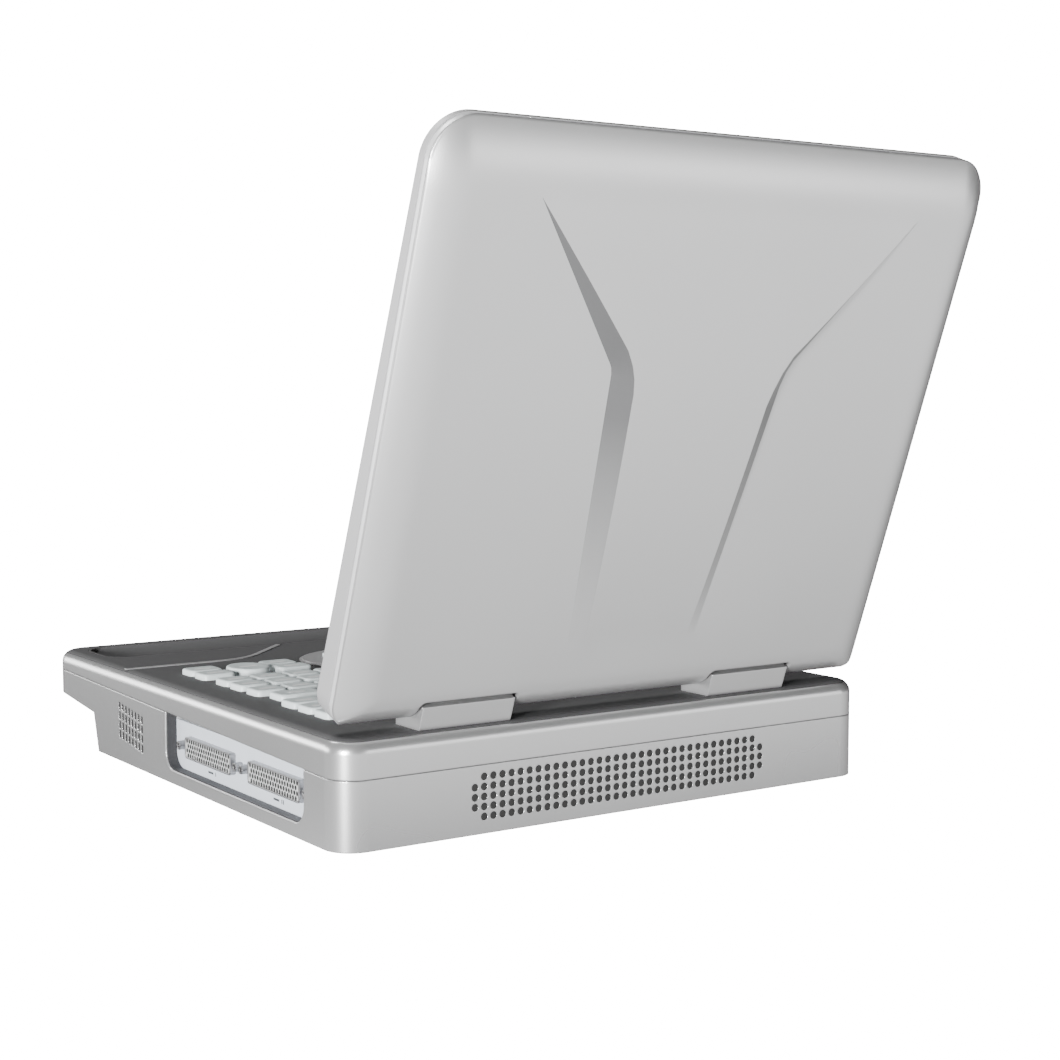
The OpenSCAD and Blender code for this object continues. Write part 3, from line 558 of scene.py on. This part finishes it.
def softTop(mesh, cx, cy, wide, deep, low, top):
    steps = [(0, low)] + [(inset, top - down) for inset, down in keyEdge]
    loftInto(mesh, [
        ringOf(cx, cy, wide - 2 * inset, deep - 2 * inset, 3 - inset * 0.4, z) for inset, z in steps])


def softOval(mesh, cx, cy, a, b, low, top):
    steps = [(0, low)] + [(inset, top - down) for inset, down in ovalEdge]
    loftInto(mesh, [ovalRing(cx, cy, a - inset, b - inset, z) for inset, z in steps])


def bar(mesh, cx, cy, wide, deep, z):
    loftInto(mesh, [ringOf(cx, cy, wide, deep, deep / 2, level, 3) for level in (z, z + 0.05)])


# keys: each starts inside the deck plate, and its plain bar lies in the dip of its top
plateZ, keyTop = 49.8, 55.0
keyLow, markZ = plateZ - 1.5, keyTop - 0.13
longBar, shortBar, barDeep, barShift = 9.5, 4.2, 3.0, 0.6
rowY = (-0.3, 16.6, 35.8, 54, 77, 94.2, 111.1)
pressed = [name for name in nodes if name.startswith("key_") and name != "key_board"]
bodyOf = {name: body for body, names in frame["record"]["behaviour"]["bodies"].items() for name in names}
for name in pressed:
    low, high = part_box(name)
    cx, cy = (low.x + high.x) * 500, (low.y + high.y) * 500
    wide, deep = (high.x - low.x) * 1000 - 1.6, (high.y - low.y) * 1000 - 1.4
    cap, mark = bmesh.new(), bmesh.new()
    if name == "key_freeze":
        softOval(cap, cx, cy, 11.3, 13.5, keyLow, high.z * 1000)
        bar(mark, cx, cy, 10.5, 3.2, high.z * 1000 - 0.26)
    else:
        softTop(cap, cx, cy, wide + 0.8, deep + 0.7, keyLow, keyTop)
        bar(mark, cx, cy + barShift, longBar if wide > 16 else shortBar, barDeep, markZ)
    cap, mark = meshObject(name + "Cap", cap, keyPale), meshObject(name + "Mark", mark, markWhite)
    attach(cap, bodyOf[name])
    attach(mark, bodyOf[name])
    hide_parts(name)
letters = {"firstX": 123, "pitch": 18.7, "wide": 17.2, "deep": 14.6}
# the columns of each row that belong to the silicone sheet; the rest are separate keys
sheetColumns = [[3, 11, 12, 13]] + [range(first, 14) for first in (3, 3, 2, 1, 1, 1)]
sheet, marks = bmesh.new(), bmesh.new()
for cy, columns in zip(rowY, sheetColumns):
    for column in columns:
        cx = letters["firstX"] - column * letters["pitch"]
        softTop(sheet, cx, cy, letters["wide"], letters["deep"], keyLow, keyTop)
        bar(marks, cx, cy + barShift, shortBar, barDeep, markZ)
sheet, marks = meshObject("letterSheet", sheet, keyPale), meshObject("letterMarks", marks, markWhite)
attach(sheet, "base")
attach(marks, "base")
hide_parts("letter_keypad")
print("keys made:", len(pressed))

# port recess: a dark sheet of painted shade on its end and floor, and plain tally marks under the sockets
recess = {
    "middle": 59.5, "wide": 154.0, "low": 9.05, "high": 49.05, "radius": 9.0,
    "tilt": 0.0218, "seam": 37.62, "straightUp": 33.0,
}


def recessRing(inset):
    cz, tall = (recess["low"] + recess["high"]) / 2, recess["high"] - recess["low"]
    ring = ringOf(
        recess["middle"], cz, recess["wide"] - 2 * inset, tall - 2 * inset,
        recess["radius"] - max(0, inset - 0.02), 0, 8)
    return [p[:2] for p in ring]


outerRing, innerRing = recessRing(0.02), recessRing(0.3)
order = [i for i, p in enumerate(outerRing) if p[1] < recess["straightUp"]]
strip = [(outerRing[i], innerRing[i]) for i in order]
# both ends run straight up to the sloping parting line
ends = []
for i in (order[0], order[-1]):
    ends.append([(ring[i][0], recess["seam"] - recess["tilt"] * ring[i][0]) for ring in (outerRing, innerRing)])
strip = [ends[0]] + strip + [ends[1]]
depths = (panelX + 0.05, sideX - 0.55)
# painted shade: a thin dark sheet over the recess's silver end and floor
shadeSheet = bmesh.new()
quads = [[shadeSheet.verts.new(mm(x, *p)) for x in depths for p in pair] for pair in strip]
for a, b in zip(quads, quads[1:]):
    shadeSheet.faces.new([a[0], a[2], b[2], b[0]])
    shadeSheet.faces.new([a[1], b[1], b[3], a[3]])
    shadeSheet.faces.new([a[2], a[3], b[3], b[2]])
    shadeSheet.faces.new([a[0], b[0], b[1], a[1]])
for end in (quads[0], quads[-1]):
    shadeSheet.faces.new([end[0], end[1], end[3], end[2]])
bmesh.ops.recalc_face_normals(shadeSheet, faces=shadeSheet.faces)
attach(meshObject("recessShadeSheet", shadeSheet, recessShadeDark), "base")

# tally marks: a short bar, then one stroke for the first socket and two for the second
tallyMark = {
    "z": 12.9, "thick": 0.06, "radius": 0.3, "barShift": -2.5, "bar": (6.0, 1.0),
    "strokeShift": 3.2, "strokePitch": 1.6, "stroke": (0.7, 2.2),
}
tally = bmesh.new()
for number, centre in enumerate(portY, 1):
    shapes = [(centre + tallyMark["barShift"], tallyMark["bar"])]
    for i in range(number):
        shapes.append((centre + tallyMark["strokeShift"] + i * tallyMark["strokePitch"], tallyMark["stroke"]))
    for y, (wide, tall) in shapes:
        ring = ringOf(y, tallyMark["z"], wide, tall, tallyMark["radius"], 0, 3)
        loftInto(tally, [[(x, q, r) for q, r, _ in ring] for x in (panelX, panelX + tallyMark["thick"])])
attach(meshObject("portTally", tally, tallyDark), "base")
print("port recess dressed")

# floor, lights and world
# both are white to the camera; to other rays the sky is nearly dark and the floor glows behind the part
whiteToCamera = 18.0
floorMesh = bpy.data.meshes.new("floor")
floorMesh.from_pydata([(-9, -9, 0), (9, -9, 0), (9, 9, 0), (-9, 9, 0)], [], [(0, 1, 2, 3)])
floor = bpy.data.objects.new("floor", floorMesh)
bpy.context.scene.collection.objects.link(floor)
floorPaint = bpy.data.materials.new("floorPaint")
floorPaint.use_nodes = True
paint, paintLinks = floorPaint.node_tree.nodes, floorPaint.node_tree.links
matt = paint["Principled BSDF"]
matt.inputs["Roughness"].default_value = 0.95
matt.inputs["Specular IOR Level"].default_value = 0.1
matt.inputs["Base Color"].default_value = (0.03, 0.03, 0.03, 1)
glow, seen, strong, blend = addNodes(
    paint, "ShaderNodeEmission", "ShaderNodeLightPath", "ShaderNodeMix", "ShaderNodeAddShader")
spot, axes, patch = addNodes(paint, "ShaderNodeTexCoord", "ShaderNodeSeparateXYZ", "ShaderNodeMapRange")
patch.interpolation_type = "SMOOTHSTEP"
patch.inputs["From Min"].default_value = -0.1
patch.inputs["From Max"].default_value = 0.55
patch.inputs["To Min"].default_value = 0.05
patch.inputs["To Max"].default_value = 1.35
strong.data_type = "FLOAT"
strong.inputs["B"].default_value = whiteToCamera
paintLinks.new(spot.outputs["Object"], axes.inputs["Vector"])
paintLinks.new(axes.outputs["Y"], patch.inputs["Value"])
paintLinks.new(patch.outputs["Result"], strong.inputs["A"])
paintLinks.new(seen.outputs["Is Camera Ray"], strong.inputs["Factor"])
paintLinks.new(strong.outputs["Result"], glow.inputs["Strength"])
paintLinks.new(matt.outputs["BSDF"], blend.inputs[0])
paintLinks.new(glow.outputs["Emission"], blend.inputs[1])
paintLinks.new(blend.outputs["Shader"], paint["Material Output"].inputs["Surface"])
floorMesh.materials.append(floorPaint)


def areaLight(name, place, aim, size, power):
    data = bpy.data.lights.new(name, "AREA")
    data.shape = "RECTANGLE"
    data.size, data.size_y = size
    data.energy = power
    light = bpy.data.objects.new(name, data)
    direction = Vector(place) - Vector(aim)
    turned = direction.to_track_quat("Z", "Y").to_matrix().to_4x4()
    light.matrix_world = Matrix.Translation(Vector(place)) @ turned
    bpy.context.scene.collection.objects.link(light)


areaLight("keyLight", (1.6, 1.1, 0.22), (0.05, 0.1, 0.06), (0.3, 0.34), 88)
areaLight("backBox", (-1.2, 2.1, 0.3), (0, 0.15, 0.1), (1.5, 0.5), 8)
areaLight("sideBox", (1.5, -1.7, 0.3), (0.1, 0, 0.03), (1.8, 0.6), 26)
areaLight("topBox", (0.3, -0.9, 1.5), (0, -0.1, 0.05), (0.5, 0.5), 20)
world = bpy.data.worlds.new("world")
bpy.context.scene.world = world
world.use_nodes = True
sky, skyLinks = world.node_tree.nodes, world.node_tree.links
where, split, fade, pick, rays = addNodes(
    sky, "ShaderNodeTexCoord", "ShaderNodeSeparateXYZ", "ShaderNodeMapRange", "ShaderNodeMix",
    "ShaderNodeLightPath")
fade.inputs["From Min"].default_value = 0.0
fade.inputs["From Max"].default_value = 0.75
fade.inputs["To Min"].default_value = 0.03
fade.inputs["To Max"].default_value = 0.02
pick.data_type = "FLOAT"
pick.inputs["B"].default_value = whiteToCamera
skyLinks.new(where.outputs["Generated"], split.inputs["Vector"])
skyLinks.new(split.outputs["Z"], fade.inputs["Value"])
skyLinks.new(fade.outputs["Result"], pick.inputs["A"])
skyLinks.new(rays.outputs["Is Camera Ray"], pick.inputs["Factor"])
skyLinks.new(pick.outputs["Result"], sky["Background"].inputs["Strength"])
sky["Background"].inputs["Color"].default_value = (1, 1, 1, 1)
print("stage lit")
